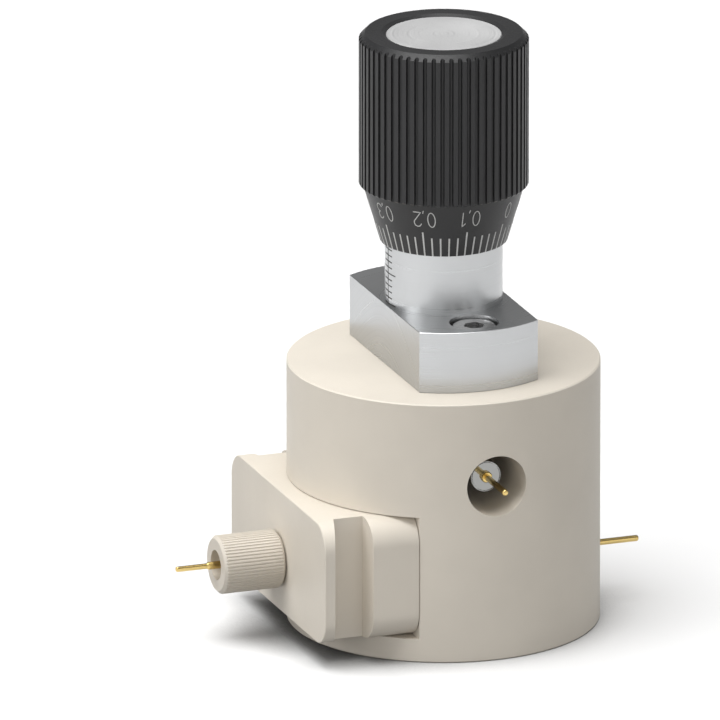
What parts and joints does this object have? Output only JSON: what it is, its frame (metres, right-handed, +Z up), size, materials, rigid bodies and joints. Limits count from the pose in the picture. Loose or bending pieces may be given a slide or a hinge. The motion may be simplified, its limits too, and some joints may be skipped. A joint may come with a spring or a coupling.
{
  "type": "electrochemical cell",
  "caption": "Small upright test cell with electrodes under a micrometer-driven plunger, gold contact pins and a pull-out reference electrode block.",
  "frame": {"origin": "centre of the round base face that the cell stands on, on the axis of the body and the micrometer", "axes": "+Z up along the micrometer axis; -X out of the reference block along its pin; +X along the counter pin; -Y out of the contact hole along the working pin"},
  "size_m": [0.0785, 0.0537, 0.0971],
  "materials": {
    "cell_plastic": "fine machined polymer",
    "block_plastic": "fine machined polymer",
    "knob_plastic": "fine machined polymer, fluted",
    "barrel_metal": "satin turned",
    "screw_steel": "bright stainless",
    "nut_bronze": "turned bronze",
    "spindle_steel": "ground steel",
    "thimble_black": "black anodised",
    "disc_metal": "satin",
    "plunger_steel": "ground stainless",
    "seal_rubber": "smooth rubber",
    "contact_gold": "gold plated",
    "stud_steel": "polished",
    "electrode_black": "coated carbon disc",
    "separator_white": "glass fibre mat",
    "ferrule_white": "white fluoropolymer"
  },
  "bodies": {
    "housing": {"cell_body": "cell_plastic", "micrometer_barrel": "barrel_metal", "flange_screw_front": "screw_steel", "flange_screw_rear": "screw_steel", "spindle_nut": "nut_bronze", "working_electrode": "electrode_black", "separator": "separator_white", "counter_electrode": "electrode_black", "counter_collector": "plunger_steel", "collector_seal": "seal_rubber", "counter_pin": "contact_gold", "port_gasket": "ferrule_white"},
    "plunger": {"piston": "plunger_steel", "piston_seal": "seal_rubber", "piston_retainer": "plunger_steel", "thrust_disc": "spindle_steel", "contact_stud": "stud_steel", "working_pin": "contact_gold"},
    "thimble": {"thimble": "thimble_black", "thimble_disc": "disc_metal", "thimble_screw": "screw_steel", "spindle": "spindle_steel"},
    "reference module": {"reference_block": "block_plastic", "reference_pin": "contact_gold", "gland_ferrule": "ferrule_white"},
    "gland follower": {"gland_washer": "screw_steel"},
    "gland knob": {"gland_knob": "knob_plastic"}
  },
  "joints": [
    {"name": "plunger slide", "type": "slide", "parent": "housing", "child": "plunger", "axis": [0, 0, 1], "range_m": [-0.0005, 0.0022]},
    {"name": "thimble turn", "type": "hinge", "parent": "plunger", "child": "thimble", "pos_m": [0, 0, 0.08], "axis": [0, 0, 1], "range_deg": [-180, 792]},
    {"name": "reference block slide", "type": "slide", "parent": "housing", "child": "reference module", "axis": [-1, 0, 0], "range_m": [0, 0.02]},
    {"name": "gland advance", "type": "slide", "parent": "reference module", "child": "gland follower", "axis": [-1, 0, 0], "range_m": [0, 0.003]},
    {"name": "gland turn", "type": "hinge", "parent": "gland follower", "child": "gland knob", "pos_m": [-0.033, 0, 0.0125], "axis": [-1, 0, 0], "range_deg": [0, 1080]}
  ],
  "couplings": [
    {"joint": "thimble turn", "follows": "plunger slide", "rad_per_m": 6283.2},
    {"joint": "gland turn", "follows": "gland advance", "rad_per_m": 6283.2}
  ]
}
